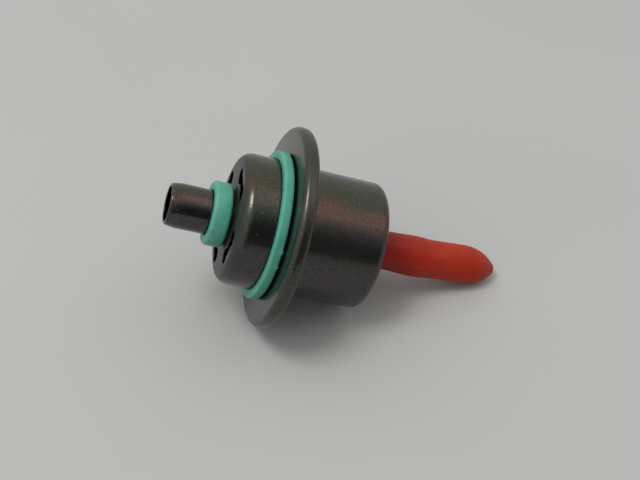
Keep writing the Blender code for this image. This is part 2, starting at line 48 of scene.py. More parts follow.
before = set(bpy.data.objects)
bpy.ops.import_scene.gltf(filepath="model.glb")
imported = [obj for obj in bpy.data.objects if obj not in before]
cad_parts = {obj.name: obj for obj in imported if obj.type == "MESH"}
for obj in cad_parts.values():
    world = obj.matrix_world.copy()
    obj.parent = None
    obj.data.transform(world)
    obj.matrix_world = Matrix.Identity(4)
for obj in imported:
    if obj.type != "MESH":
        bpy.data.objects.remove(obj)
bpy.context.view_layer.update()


# Shader expressions


class Signal:
    """A socket that can stand in a sum. Each operation adds a Math node."""

    def __init__(self, graph, socket):
        self.graph = graph
        self.socket = socket

    def math(self, operation, first, second):
        return self.graph.node(
            "ShaderNodeMath", {"operation": operation}, {0: first, 1: second}
        )

    def __add__(self, other):
        return self.math("ADD", self, other)

    def __radd__(self, other):
        return self.math("ADD", other, self)

    def __sub__(self, other):
        return self.math("SUBTRACT", self, other)

    def __rsub__(self, other):
        return self.math("SUBTRACT", other, self)

    def __mul__(self, other):
        return self.math("MULTIPLY", self, other)

    def __rmul__(self, other):
        return self.math("MULTIPLY", other, self)

    def __lt__(self, other):
        return self.math("LESS_THAN", self, other)


class Graph:
    """A node tree that is filled one call at a time."""

    def __init__(self, tree):
        self.tree = tree

    def node(self, kind, settings=None, inputs=None, output=0):
        """Adds a node: its settings first, then the values or links of its sockets."""
        made = self.tree.nodes.new(kind)
        for name, value in (settings or {}).items():
            setattr(made, name, value)
        for name, value in (inputs or {}).items():
            self.feed(made.inputs[name], value)
        return Signal(self, made.outputs[output])

    def feed(self, socket, value):
        """Links a signal to a socket, or sets the socket to a plain value."""
        if isinstance(value, Signal):
            self.tree.links.new(value.socket, socket)
        else:
            socket.default_value = value

    def mix(self, factor, first, second):
        """Blends two colours."""
        return self.node(
            "ShaderNodeMix",
            {"data_type": "RGBA"},
            {0: factor, 6: first, 7: second},
            output=2,
        )

    def ramp(self, value, low, high, start=0.0, end=1.0):
        """Goes smoothly from start to end while the value goes from low to high."""
        return self.node(
            "ShaderNodeMapRange",
            {"interpolation_type": "SMOOTHSTEP"},
            {"Value": value, "From Min": low, "From Max": high, "To Min": start, "To Max": end},
        )

    def zone(self, place, limits_mm):
        """Mask of a zone: it begins at the first place in mm and is full at the second."""
        begin, full = limits_mm
        return self.ramp(place, begin * MM, full * MM)

    def noise(self, place, scale, detail=3.0, roughness=0.55):
        """Soft clouds between 0 and 1, smaller as the scale grows."""
        return self.node(
            "ShaderNodeTexNoise",
            None,
            {"Vector": place, "Scale": scale, "Detail": detail, "Roughness": roughness},
        )

    def threads(self, place, direction, scale):
        """Even ridges that follow one another along Y or Z."""
        return self.node(
            "ShaderNodeTexWave",
            {"bands_direction": direction},
            {"Vector": place, "Scale": scale, "Distortion": 0.4},
            output=1,
        )

    def stretched(self, place, scale):
        """Place with each axis multiplied by its own number."""
        return self.node(
            "ShaderNodeVectorMath", {"operation": "MULTIPLY"}, {0: place, 1: scale}
        )

    def length(self, place):
        """Length of a vector as one signal."""
        return self.node("ShaderNodeVectorMath", {"operation": "LENGTH"}, {0: place}, output=1)

    def facing(self, way, direction):
        """Cosine of the angle between a way and a fixed direction."""
        return self.node(
            "ShaderNodeVectorMath", {"operation": "DOT_PRODUCT"}, {0: way, 1: direction}, output=1
        )

    def angle(self, side, height):
        """Angle round the axis, from straight up towards +Y."""
        return self.node("ShaderNodeMath", {"operation": "ARCTAN2"}, {0: side, 1: height})

    def split(self, place):
        """The three parts of a vector as separate signals."""
        station = self.node("ShaderNodeSeparateXYZ", None, {0: place})
        return [Signal(self, part) for part in station.socket.node.outputs]

    def bump(self, height, strength, depth_mm, below=None):
        """Normals of a rough surface, laid over those of a bump below it."""
        inputs = {"Height": height, "Strength": strength, "Distance": depth_mm * MM}
        if below is not None:
            inputs["Normal"] = below
        return self.node("ShaderNodeBump", None, inputs)


class Finish(Graph):
    """A material on Principled BSDF, with its constants set on the shader's sockets."""

    def __init__(self, name, constants):
        self.material = bpy.data.materials.new(name)
        self.material.use_nodes = True
        super().__init__(self.material.node_tree)
        self.shader = self.tree.nodes["Principled BSDF"]
        for socket, value in constants.items():
            self.shader.inputs[socket].default_value = value
        self.place = self.node("ShaderNodeTexCoord", output="Object")

    def set(self, **signals):
        """Feeds the shader's sockets, named as in base_color, and hands over the material."""
        for name, signal in signals.items():
            self.feed(self.shader.inputs[name.replace("_", " ").title()], signal)
        return self.material


def colour(red, green, blue):
    """Linear colour from the eight-bit values that a screen shows."""
    linear = []
    for value in (red, green, blue):
        share = value / 255
        linear.append(share / 12.92 if share <= 0.04045 else ((share + 0.055) / 1.055) ** 2.4)
    return (*linear, 1.0)


# Finishes

# The red, grey and violet film colours also paint the reflection bands round the axis.
OLIVE_FILM = colour(76, 77, 60)
RED_FILM_AND_PAINTED_REFLECTION = colour(96, 70, 59)
GREY_FILM_AND_PAINTED_REFLECTION = colour(72, 73, 66)
VIOLET_FILM_AND_PAINTED_REFLECTION = colour(76, 69, 78)
TEAL_FILM = colour(58, 74, 68)
DARK_FLECK = colour(48, 46, 43)
PALE_FLECK = colour(106, 102, 94)
DUST = colour(170, 167, 160)
# Near black for the painted shade inside the cup
UNLIT_INSIDE = colour(12, 12, 11)

# Zones of the steel pieces: stations or radii, where each zone begins and where it is full
FLANGE_EDGE_MM = (16.0, 17.2)
TUBE_MOUTH_MM = (-15.5, -17.2)
CUP_END_MM = (-6.8, -7.6)
CLEAR_OF_TUBE_MM = (4.0, 4.3)
BEHIND_FACE_MM = (-7.82, -7.74)
WITHIN_SLOTS_MM = (9.5, 9.3)
BEHIND_SHEET_MM = (-7.0, -6.8)
WITHIN_CUP_MM = (10.85, 10.75)

RUBBER_DEEP = colour(79, 166, 142)
RUBBER_PALE = colour(93, 178, 155)
RUBBER_FLECK = colour(70, 134, 118)

VINYL_DEEP = colour(166, 38, 13)
VINYL_PALE = colour(174, 45, 18)
VINYL_OVER_PORT = colour(140, 22, 10)
# Lighter red of the painted highlight streaks along the cap
VINYL_HIGHLIGHT_STREAK = colour(186, 62, 30)
PORT_SHOWS_MM = (31.5, 27.0)
PORT_EDGE_WANDER = 4.0 * MM

THREAD_DARK = colour(38, 38, 42)
THREAD_PALE = colour(62, 62, 66)
THREAD_SCALE = 320.0


def specks(finish, scale, size, share):
    """Scattered small dots: one near the middle of a share of the cells."""
    cells = {"Vector": finish.place, "Scale": scale}
    distance = finish.node("ShaderNodeTexVoronoi", None, cells)
    tint = finish.node("ShaderNodeTexVoronoi", None, cells, output="Color")
    picked = finish.split(tint)[0] < share
    return (distance < size) * picked


def passivated_steel(name, shine, painted_red_reflection, painted_inside_shade=0.0):
    """Dull drawn steel under a thin film, whose colour drifts from olive to red-brown and violet.
    Its bands of colour by angle round the axis are painted reflections.

    Shine is its least roughness, redness the strength of its red bands, which are painted
    reflections, and hollow is 1 for the cup, whose slot walls and inside are painted near black as
    painted shade.
    """
    finish = Finish(name, {"Metallic": 1.0, "Coat Weight": 0.3, "Coat Roughness": 0.06})
    station, side, height = finish.split(finish.place)
    reach = finish.length(finish.stretched(finish.place, (0.0, 1.0, 1.0)))
    along = finish.stretched(finish.place, (0.45, 1.0, 1.0))
    patches = finish.noise(along, scale=260.0, detail=2.0, roughness=0.5)
    blots = finish.noise(along, scale=700.0, detail=2.0, roughness=0.5)
    drifts = finish.noise(along, scale=90.0, detail=1.0, roughness=0.4)
    grain = finish.noise(finish.place, scale=2600.0, detail=3.0, roughness=0.65)
    turn = finish.angle(side, height) + (drifts - 0.5) * 0.35

    # Each layer of colour: what steers it, where it begins and is full, its strength and colour.
    # The layers steered by turn, the angle round the axis, are painted reflections; the others are
    # film, flecks and grain.
    layers = [
        # Painted reflections: a red band just off the top towards -Y, grey further round, violet
        # low on the -Y side, and red from the +Y side to the bottom.
        (turn, -0.14, -0.42, painted_red_reflection, RED_FILM_AND_PAINTED_REFLECTION),
        (turn, -0.45, -0.75, 1.0, GREY_FILM_AND_PAINTED_REFLECTION),
        (turn, -1.0, -1.5, 0.7, VIOLET_FILM_AND_PAINTED_REFLECTION),
        (turn, 1.2, 2.6, painted_red_reflection, RED_FILM_AND_PAINTED_REFLECTION),
        (patches, 0.52, 0.72, 0.6, VIOLET_FILM_AND_PAINTED_REFLECTION),
        (patches, 0.48, 0.28, 0.75, TEAL_FILM),
        (blots, 0.56, 0.74, 0.2, RED_FILM_AND_PAINTED_REFLECTION),
        (grain, 0.42, 0.72, 0.5, DARK_FLECK),
        (grain, 0.5, 0.25, 0.35, PALE_FLECK),
    ]
    film_and_painted_light = OLIVE_FILM
    for signal, begin, full, strength, tint in layers:
        film_and_painted_light = finish.mix(finish.ramp(signal, begin, full, end=strength), film_and_painted_light, tint)

    flange = finish.zone(reach, FLANGE_EDGE_MM)
    mouth = finish.zone(station, TUBE_MOUTH_MM)
    face = finish.zone(station, CUP_END_MM) * finish.zone(reach, CLEAR_OF_TUBE_MM)
    film_and_painted_light = finish.mix(flange * 0.7 + face * 0.6, film_and_painted_light, GREY_FILM_AND_PAINTED_REFLECTION)
    # Painted shade: the slot walls and the cup's inside behind its end face are painted near black.
    slot_walls = finish.zone(station, BEHIND_FACE_MM) * finish.zone(reach, WITHIN_SLOTS_MM)
    bore = finish.zone(station, BEHIND_SHEET_MM) * finish.zone(reach, WITHIN_CUP_MM)
    film_and_painted_light = finish.mix((slot_walls + bore) * painted_inside_shade, film_and_painted_light, UNLIT_INSIDE)
    loose_dust = specks(finish, scale=1000.0, size=0.085, share=0.4)
    edge_dust = specks(finish, scale=2100.0, size=0.17, share=0.5)
    dust = loose_dust + edge_dust * (flange * 0.7 + mouth)
    film_and_painted_light = finish.mix(dust * 0.5, film_and_painted_light, DUST)

    axial_streaks = finish.noise(finish.stretched(finish.place, (0.04, 1.0, 1.0)), scale=5200.0, detail=2.0)
    ridges = finish.bump(axial_streaks, strength=0.1, depth_mm=0.03)
    pitted = finish.bump(grain, strength=0.25, depth_mm=0.03, below=ridges)
    rough = shine + grain * 0.1 + patches * 0.08 + dust * 0.3 + face * 0.3 + flange * 0.08
    return finish.set(base_color=film_and_painted_light, roughness=rough, normal=pitted)


def seal_rubber():
    """Satin rubber, slightly cloudy."""
    finish = Finish("seal_rubber", {"Specular IOR Level": 0.45})
    cloud = finish.noise(finish.place, scale=420.0, detail=3.0)
    grain = finish.noise(finish.place, scale=4200.0, detail=2.0)
    body = finish.mix(finish.ramp(cloud, 0.3, 0.7), RUBBER_DEEP, RUBBER_PALE)
    body = finish.mix(finish.ramp(grain, 0.62, 0.8, end=0.3), body, RUBBER_FLECK)
    fine = finish.bump(grain, strength=0.2, depth_mm=0.03)
    wavy = finish.bump(cloud, strength=0.35, depth_mm=0.1, below=fine)
    return finish.set(base_color=body, roughness=0.38 + cloud * 0.2, normal=wavy)


def red_vinyl():
    """Soft vinyl, darker where the metal port shows through its wall, with lighter streaks along
    the axis that are painted highlights.
    """
    finish = Finish("red_vinyl", {"Specular IOR Level": 0.25})
    station = finish.split(finish.place)[0]
    cloud = finish.noise(finish.place, scale=260.0, detail=3.0)
    grain = finish.noise(finish.place, scale=3600.0, detail=2.0)
    over_port = finish.zone(station + cloud * PORT_EDGE_WANDER, PORT_SHOWS_MM)
    body = finish.mix(finish.ramp(cloud, 0.3, 0.7), VINYL_DEEP, VINYL_PALE)
    body = finish.mix(over_port * 0.5, body, VINYL_OVER_PORT)
    # Painted highlights: lighter red streaks along the axis, which also raise the roughness.
    axial_streaks = finish.noise(finish.stretched(finish.place, (0.12, 1.0, 1.0)), scale=1300.0, detail=2.0)
    body = finish.mix(finish.ramp(axial_streaks, 0.55, 0.75, end=0.35), body, VINYL_HIGHLIGHT_STREAK)
    fine = finish.bump(grain, strength=0.12, depth_mm=0.03)
    wavy = finish.bump(cloud, strength=0.4, depth_mm=0.3, below=fine)
    return finish.set(base_color=body, roughness=0.32 + axial_streaks * 0.2 + cloud * 0.1, normal=wavy)


def plain_metal(name, tint, worn, shine):
    """Turned or pressed metal inside the housings. Shine is its least roughness."""
    finish = Finish(name, {"Metallic": 1.0})
    cloud = finish.noise(finish.place, scale=350.0, detail=3.0)
    lines = finish.noise(finish.stretched(finish.place, (9.0, 1.0, 1.0)), scale=900.0, detail=2.0)
    body = finish.mix(finish.ramp(cloud, 0.35, 0.7), tint, worn)
    grooves = finish.bump(lines, strength=0.2, depth_mm=0.03)
    return finish.set(base_color=body, roughness=shine + lines * 0.14, normal=grooves)


def diaphragm_rubber():
    """Black rubber with the weave of its cloth showing."""
    finish = Finish("diaphragm_rubber", {})
    weft = finish.threads(finish.place, "Y", THREAD_SCALE)
    warp = finish.threads(finish.place, "Z", THREAD_SCALE)
    weave = weft + warp
    body = finish.mix(finish.ramp(weave, 0.5, 1.6), THREAD_DARK, THREAD_PALE)
    cloth = finish.bump(weave, strength=0.4, depth_mm=0.06)
    return finish.set(base_color=body, roughness=0.62 + weave * 0.06, normal=cloth)


CUP_STEEL = passivated_steel("cup_steel", shine=0.16, painted_red_reflection=0.35, painted_inside_shade=1.0)
HOUSING_STEEL = passivated_steel("housing_steel", shine=0.2, painted_red_reflection=1.0)
TUBE_STEEL = passivated_steel("tube_steel", shine=0.09, painted_red_reflection=1.0)
SEAL_RUBBER = seal_rubber()
RED_VINYL = red_vinyl()
BRIGHT_STEEL = plain_metal("bright_steel", colour(176, 176, 172), colour(150, 150, 148), shine=0.25)
SPRING_WIRE = plain_metal("spring_wire", colour(128, 126, 122), colour(96, 92, 88), shine=0.3)
TURNED_BRASS = plain_metal("turned_brass", colour(196, 168, 104), colour(168, 140, 84), shine=0.25)
DIAPHRAGM_RUBBER = diaphragm_rubber()


# Sizes of the pieces

# How round the turned pieces are, and where their shading breaks
SIDES = 160
RING_SIDES = 320
CAP_SIDES = 96
ARC_STEPS = 8
SHARP_ANGLE = math.radians(35)

# Points closer than this are one point: before a spin, after it, and after the slots are cut
SAME_POINT_MM = 0.00001
SEAM_MM = 0.001
CUT_SEAM_MM = 0.002

# Fuel cup and its flange
SHEET_MM = 0.8
CUP_RADIUS_MM = 11.4
CUP_FACE_MM = -7.85
CUP_HOLE_MM = 3.9
FLANGE_RADIUS_MM = 17.75
FLANGE_MM = 2.5
FLANGE_TAPER_MM = 0.15
CRIMP_MM = 0.5
CRIMP_REACH_MM = 16.9
CRIMP_LIP_MM = 14.1

# Inlet slots in the cup's end face: two round lobes and a narrower neck each
SLOT_ANGLES = [math.radians(angle) for angle in (0, 90, 180, 270)]
SLOT_HALF_ANGLE = math.radians(16)
SLOT_MID_MM = 7.75
LOBE_MM = 1.35
LOBE_SIDES = 32
LOBE_DEPTH_MM = 3
NECK_HALF_MM = 0.85
NECK_HALF_DEPTH_MM = 1.45
NECK_STEPS = 12

# The slots' edges: those that are this sharp, in this band of the end face
SLOT_EDGE_MM = 0.1
SLOT_EDGE_ANGLE = math.radians(60)
SLOT_BAND_MM = (6.2, 9.3)
SLOT_BACK_MM = -6.9

# Return tube
TUBE_RADIUS_MM = 3.85
TUBE_BORE_MM = 3.35
TUBE_END_MM = -3.2
MOUTH_BEND_MM = -17.1
MOUTH_BEND_INSIDE_MM = -17.0
MOUTH_END_MM = -18.4
MOUTH_RADIUS_MM = 3.5
MOUTH_BORE_MM = 3.02

# Seal rings. The small one sits a little askew on the tube.
SMALL_RING_MM = (-11.2, -8.1)
SMALL_RING_RADII_MM = (3.87, 5.55)
LARGE_RING_MM = (-2.0, -0.25)
LARGE_RING_RADII_MM = (11.42, 12.95)
CAP_UP = Vector((0.0, 0.7162, 0.6979))
RING_TILT = 0.014
RING_LIFT_MM = 0.2

# Moulding flash on the large ring's outer back corner
FLASH_ANGLES = [math.radians(angle) for angle in (26.75, -66.25, -78)]
FLASH_HALF_ANGLE = math.radians(1.2)
FLASH_STATION_MM = -0.6
FLASH_REACH_MM = 12.6
FLASH_BACK_MM = 0.12
FLASH_OUT_MM = 0.09

# Spring housing
CAN_RADIUS_MM = 11.25
CAN_BORE_MM = 10.45
CAN_END_MM = 17.7
CAN_HOLE_MM = 2.7
CAN_FLANGE_MM = (1.25, 1.75)
CLAMPED_RADIUS_MM = 16.5

# Cap: its ends, its bore, which closes in a shallow cone, its radius from start to tip, and
# how far it bends. The outline stops this close to the axis, where the spin closes it.
CAP_START_MM = 17.95
CAP_TIP_MM = 42.6
CAP_TIP_RADIUS_MM = 0.95
CAP_BORE_MM = 2.9
CAP_BORE_CONE_MM = 36.3
CAP_BORE_END_MM = 36.9
POLE_MM = 0.02
CAP_PROFILE_MM = [
    (CAP_START_MM, 3.48),
    (22.0, 3.46),
    (24.4, 3.58),
    (26.4, 3.72),
    (27.6, 3.70),
    (29.4, 3.52),
    (33.0, 3.47),
    (36.5, 3.53),
    (38.0, 3.42),
    (39.5, 3.0),
    (40.6, 2.45),
    (41.5, 1.8),
    (42.1, 1.35),
]
CAP_BEND_MM = [
    (26.0, 0.0),
    (29.0, 0.05),
    (31.0, 0.2),
    (33.5, 0.35),
    (36.0, 0.48),
    (40.0, 0.55),
    (CAP_TIP_MM, 0.6),
]

# Diaphragm: its sheet, the crown of its roll, the roll's feet and the skirt under the split
CLOTH_MM = 0.25
CLOTH_FRONT_MM = 1.0
CLOTH_HOLE_MM = 3.0
CROWN_FRONT_MM = 2.24
ROLL_CROWN_MM = 8.62
ROLL_INNER_MM = 7.42
ROLL_OUTER_MM = 9.82
SKIRT_GAP_MM = 0.02
SKIRT_BORE_MM = 8.35
SKIRT_FOOT_MM = 1.3


# Shapes


def turned(corners, sides=SIDES):
    """Spins a closed outline of (station, radius, rounding), in mm, about the axis."""
    shape = bmesh.new()
    points = [
        shape.verts.new((station * MM, 0.0, radius * MM)) for station, radius, _ in corners
    ]
    for first, second in zip(points, points[1:] + points[:1]):
        shape.edges.new((first, second))
    for point, (_, _, rounding) in zip(points, corners):
        if rounding:
            bmesh.ops.bevel(
                shape,
                geom=[point],
                offset=rounding * MM,
                offset_type="OFFSET",
                segments=ARC_STEPS,
                profile=0.5,
                affect="VERTICES",
                material=-1,
            )
    bmesh.ops.remove_doubles(shape, verts=shape.verts, dist=SAME_POINT_MM * MM)
    bmesh.ops.spin(
        shape,
        geom=shape.verts[:] + shape.edges[:],
        cent=ON_AXIS,
        axis=ALONG_AXIS,
        angle=FULL_TURN,
        steps=sides,
        use_merge=True,
    )
    bmesh.ops.remove_doubles(shape, verts=shape.verts, dist=SEAM_MM * MM)
    bmesh.ops.recalc_face_normals(shape, faces=shape.faces)
    return shape


def finished(name, shape, look, body, *nodes):
    """Makes the piece, smooth-shaded between its sharp edges, and puts it on its body."""
    for face in shape.faces:
        face.smooth = True
    mesh = bpy.data.meshes.new(name)
    shape.to_mesh(mesh)
    shape.free()
    mesh.set_sharp_from_angle(angle=SHARP_ANGLE)
    mesh.materials.append(look)
    piece = bpy.data.objects.new(name, mesh)
    bpy.context.scene.collection.objects.link(piece)
    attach(piece, body)
    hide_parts(*nodes)
    return piece


def add_lobe(shape, angle):
    """Round pin that cuts one end of a slot."""
    centre = Vector((CUP_FACE_MM, math.sin(angle) * SLOT_MID_MM, math.cos(angle) * SLOT_MID_MM))
    bmesh.ops.create_cone(
        shape,
        cap_ends=True,
        segments=LOBE_SIDES,
        radius1=LOBE_MM * MM,
        radius2=LOBE_MM * MM,
        depth=LOBE_DEPTH_MM * MM,
        matrix=Matrix.Translation(centre * MM) @ Matrix.Rotation(QUARTER_TURN, 4, "Y"),
    )


def add_neck(shape, middle):
    """Curved bar that cuts a slot between its two ends, spun from a flat section."""
    section = bmesh.ops.create_grid(shape, x_segments=1, y_segments=1, size=MM)["verts"]
    for vertex in section:
        station = CUP_FACE_MM * MM + vertex.co.y * NECK_HALF_DEPTH_MM
        radius = SLOT_MID_MM * MM + vertex.co.x * NECK_HALF_MM
        vertex.co = Vector((station, 0.0, radius))
    bmesh.ops.rotate(
        shape,
        verts=section,
        cent=ON_AXIS,
        matrix=Matrix.Rotation(SLOT_HALF_ANGLE - middle, 3, "X"),
    )
    face = section[0].link_faces[0]
    bmesh.ops.spin(
        shape,
        geom=[face, *face.edges, *section],
        cent=ON_AXIS,
        axis=ALONG_AXIS,
        angle=-2 * SLOT_HALF_ANGLE,
        steps=NECK_STEPS,
    )


def slot_cutters():
    """One mesh of all that is cut out of the end face."""
    shape = bmesh.new()
    for middle in SLOT_ANGLES:
        add_lobe(shape, middle - SLOT_HALF_ANGLE)
        add_lobe(shape, middle + SLOT_HALF_ANGLE)
        add_neck(shape, middle)
    bmesh.ops.recalc_face_normals(shape, faces=shape.faces)
    return shape


def cut(shape, cutters):
    """The shape with the cutters' volumes taken out of it."""
    holders = []
    for name, part in (("blank", shape), ("cutters", cutters)):
        mesh = bpy.data.meshes.new(name)
        part.to_mesh(mesh)
        part.free()
        holder = bpy.data.objects.new(name, mesh)
        bpy.context.scene.collection.objects.link(holder)
        holders.append(holder)
    blank, knife = holders
    taken = blank.modifiers.new("slots", "BOOLEAN")
    taken.operation = "DIFFERENCE"
    taken.solver = "EXACT"
    taken.use_self = True
    taken.object = knife
    bpy.context.view_layer.update()
    result = bmesh.new()
    result.from_mesh(blank.evaluated_get(bpy.context.evaluated_depsgraph_get()).to_mesh())
    for holder in holders:
        bpy.data.objects.remove(holder, do_unlink=True)
    return result


def is_slot_edge(edge):
    """True for a sharp edge of the end face that belongs to a slot."""
    middle = (edge.verts[0].co + edge.verts[1].co) / 2
    inner, outer = SLOT_BAND_MM
    if middle.x > SLOT_BACK_MM * MM:
        return False
    if not inner * MM < math.hypot(middle.y, middle.z) < outer * MM:
        return False
    return edge.is_manifold and edge.calc_face_angle(0.0) > SLOT_EDGE_ANGLE


def fuel_cup():
    """Drawn cup with its slots. Its flange is rolled over the spring housing's flange."""
    bore = CUP_RADIUS_MM - SHEET_MM
    face_back = CUP_FACE_MM + SHEET_MM
    lip_front = FLANGE_MM - CRIMP_MM
    outline = [
        (CUP_FACE_MM, CUP_HOLE_MM, 0.12),
        (CUP_FACE_MM, CUP_RADIUS_MM, 2.0),
        (0.0, CUP_RADIUS_MM, 0.6),
        (0.0, FLANGE_RADIUS_MM, 1.15),
        (FLANGE_MM, FLANGE_RADIUS_MM - FLANGE_TAPER_MM, 0.8),
        (FLANGE_MM, CRIMP_LIP_MM, 0.2),
        (lip_front, CRIMP_LIP_MM, 0.1),
        (lip_front, CRIMP_REACH_MM, 0.3),
        (CRIMP_MM, CRIMP_REACH_MM, 0.3),
        (CRIMP_MM, bore, 0.5),
        (face_back, bore, 1.2),
        (face_back, CUP_HOLE_MM, 0.1),
    ]
    shape = cut(turned(outline), slot_cutters())
    bmesh.ops.remove_doubles(shape, verts=shape.verts, dist=CUT_SEAM_MM * MM)
    bmesh.ops.bevel(
        shape,
        geom=[edge for edge in shape.edges if is_slot_edge(edge)],
        offset=SLOT_EDGE_MM * MM,
        offset_type="OFFSET",
        segments=2,
        profile=0.5,
        affect="EDGES",
        material=-1,
        clamp_overlap=True,
    )
    finished("fuel_cup", shape, CUP_STEEL, "housing", "fuel_housing")


def tube():
    """Return tube with its mouth drawn in."""
    outline = [
        (TUBE_END_MM, TUBE_RADIUS_MM, 0.1),
        (MOUTH_BEND_MM, TUBE_RADIUS_MM, 1.0),
        (MOUTH_END_MM, MOUTH_RADIUS_MM, 0.22),
        (MOUTH_END_MM, MOUTH_BORE_MM, 0.2),
        (MOUTH_BEND_INSIDE_MM, TUBE_BORE_MM, 0.8),
        (TUBE_END_MM, TUBE_BORE_MM, 0.1),
    ]
    finished("tube", turned(outline), TUBE_STEEL, "housing", "return_tube")


def seal_outline(stations, radii, inner_rounding, outer_rounding):
    """Rounded oblong section of a seal ring, as moulded."""
    front, back = stations
    inner, outer = radii
    return [
        (front, inner, inner_rounding),
        (front, outer, outer_rounding),
        (back, outer, outer_rounding),
        (back, inner, inner_rounding),
    ]


def small_ring():
    """Ring on the tube."""
    shape = turned(seal_outline(SMALL_RING_MM, SMALL_RING_RADII_MM, 0.4, 0.6))
    for vertex in shape.verts:
        vertex.co.x -= vertex.co.dot(CAP_UP) * RING_TILT + RING_LIFT_MM * MM
    finished("small_ring", shape, SEAL_RUBBER, "housing", "small_seal_ring")


def large_ring():
    """Ring on the cup, with the nubs of flash that its mould left."""
    shape = turned(seal_outline(LARGE_RING_MM, LARGE_RING_RADII_MM, 0.3, 0.42), RING_SIDES)
    for vertex in shape.verts:
        station, side, height = vertex.co / MM
        angle = math.atan2(side, height)
        near_flash = min(abs(angle - flash) for flash in FLASH_ANGLES) < FLASH_HALF_ANGLE
        if near_flash and station > FLASH_STATION_MM and math.hypot(side, height) > FLASH_REACH_MM:
            vertex.co.x += FLASH_BACK_MM * MM
            vertex.co += Vector((0.0, side, height)).normalized() * FLASH_OUT_MM * MM
    finished("large_ring", shape, SEAL_RUBBER, "housing", "large_seal_ring")


def spring_can():
    """Drawn housing on the vacuum side, plain but for its rounded end."""
    flange_front, flange_back = CAN_FLANGE_MM
    end_back = CAN_END_MM - SHEET_MM
    outline = [
        (CAN_END_MM, CAN_HOLE_MM, 0.15),
        (CAN_END_MM, CAN_RADIUS_MM, 1.5),
        (flange_back, CAN_RADIUS_MM, 0.7),
        (flange_back, CLAMPED_RADIUS_MM, 0.0),
        (flange_front, CLAMPED_RADIUS_MM, 0.0),
        (flange_front, CAN_BORE_MM, 0.7),
        (end_back, CAN_BORE_MM, 0.8),
        (end_back, CAN_HOLE_MM, 0.1),
    ]
    finished("spring_can", turned(outline), HOUSING_STEEL, "housing", "spring_housing")


def between(table, station):
    """Value at a station, read from a table of (station, value)."""
    if station <= table[0][0]:
        return table[0][1]
    for (start, first), (end, second) in zip(table, table[1:]):
        if station <= end:
            return first + (second - first) * (station - start) / (end - start)
    return table[-1][1]


def cap():
    """Soft cap, stretched over the port's barb, bent a little and closed in a blunt tip."""
    outline = [(CAP_TIP_MM, POLE_MM, 0.0), (CAP_TIP_MM, CAP_TIP_RADIUS_MM, 0.35)]
    outline += [(station, radius, 0.5) for station, radius in reversed(CAP_PROFILE_MM[1:])]
    outline += [
        (*CAP_PROFILE_MM[0], 0.12),
        (CAP_START_MM, CAP_BORE_MM, 0.1),
        (CAP_BORE_CONE_MM, CAP_BORE_MM, 0.0),
        (CAP_BORE_END_MM, POLE_MM, 0.0),
    ]
    shape = turned(outline, CAP_SIDES)
    for vertex in shape.verts:
        vertex.co += CAP_UP * between(CAP_BEND_MM, vertex.co.x / MM) * MM
    finished("cap", shape, RED_VINYL, "housing", "vacuum_cap")


def diaphragm():
    """Sheet with one roll, split at the roll's crown: the inner half lifts with the valve.

    A skirt under the inner half's edge keeps the split closed while the valve is open.
    """
    cloth_back = CLOTH_FRONT_MM - CLOTH_MM
    crown_back = CROWN_FRONT_MM - CLOTH_MM
    skirt_radius = ROLL_CROWN_MM - SKIRT_GAP_MM
    inner = [
        (CLOTH_FRONT_MM, CLOTH_HOLE_MM, 0.0),
        (CLOTH_FRONT_MM, ROLL_INNER_MM, 0.15),
        (CROWN_FRONT_MM, ROLL_INNER_MM, 1.0),
        (CROWN_FRONT_MM, skirt_radius, 0.0),
        (SKIRT_FOOT_MM, skirt_radius, 0.0),
        (SKIRT_FOOT_MM, SKIRT_BORE_MM, 0.0),
        (crown_back, SKIRT_BORE_MM, 0.0),
        (crown_back, ROLL_INNER_MM + CLOTH_MM, 0.6),
        (cloth_back, ROLL_INNER_MM + CLOTH_MM, 0.1),
        (cloth_back, CLOTH_HOLE_MM, 0.0),
    ]
    outer = [
        (CLOTH_FRONT_MM, CLAMPED_RADIUS_MM, 0.0),
        (CLOTH_FRONT_MM, ROLL_OUTER_MM, 0.15),
        (CROWN_FRONT_MM, ROLL_OUTER_MM, 1.0),
        (CROWN_FRONT_MM, ROLL_CROWN_MM, 0.0),
        (crown_back, ROLL_CROWN_MM, 0.0),
        (crown_back, ROLL_OUTER_MM - CLOTH_MM, 0.8),
        (cloth_back, ROLL_OUTER_MM - CLOTH_MM, 0.1),
        (cloth_back, CLAMPED_RADIUS_MM, 0.0),
    ]
    finished("diaphragm_centre", turned(inner), DIAPHRAGM_RUBBER, "valve", "diaphragm")
    finished("diaphragm_rim", turned(outer), DIAPHRAGM_RUBBER, "housing", "diaphragm")


def main_spring():
    """Coil spring, a copy of its CAD mesh with a mesh of its own."""
    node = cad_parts["main_spring"]
    shape = bmesh.new()
    shape.from_mesh(node.data)
    bmesh.ops.transform(shape, matrix=node.matrix_world, verts=shape.verts)
    bmesh.ops.remove_doubles(shape, verts=shape.verts, dist=SEAM_MM * MM)
    spring = finished("coil_spring", shape, SPRING_WIRE, "housing", "main_spring")
    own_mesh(spring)


INNER_LOOKS = {
    "valve_seat": TURNED_BRASS,
    "valve_carrier": TURNED_BRASS,
    "valve_ball": BRIGHT_STEEL,
    "ball_retainer": BRIGHT_STEEL,
    "lower_plate": BRIGHT_STEEL,
    "spring_plate": BRIGHT_STEEL,
    "spring_seat": BRIGHT_STEEL,
    "vacuum_nipple": BRIGHT_STEEL,
}


def finish_inner_pieces():
    """Gives the pieces that keep their CAD mesh their own finishes."""
    for node_name, look in INNER_LOOKS.items():
        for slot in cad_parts[node_name].material_slots:
            slot.material = look


# Table, light and camera

# The table passes under the flange's edge and the cap's tip. Its plane lies below the origin.
FLOOR_UP = Vector((-0.3718, 0.0, 0.9283))
FLOOR_DROP = 17.118 * MM
TABLE_HALF = 1.5
TABLE_DARK = colour(186, 187, 185)
TABLE_PALE = colour(192, 193, 190)

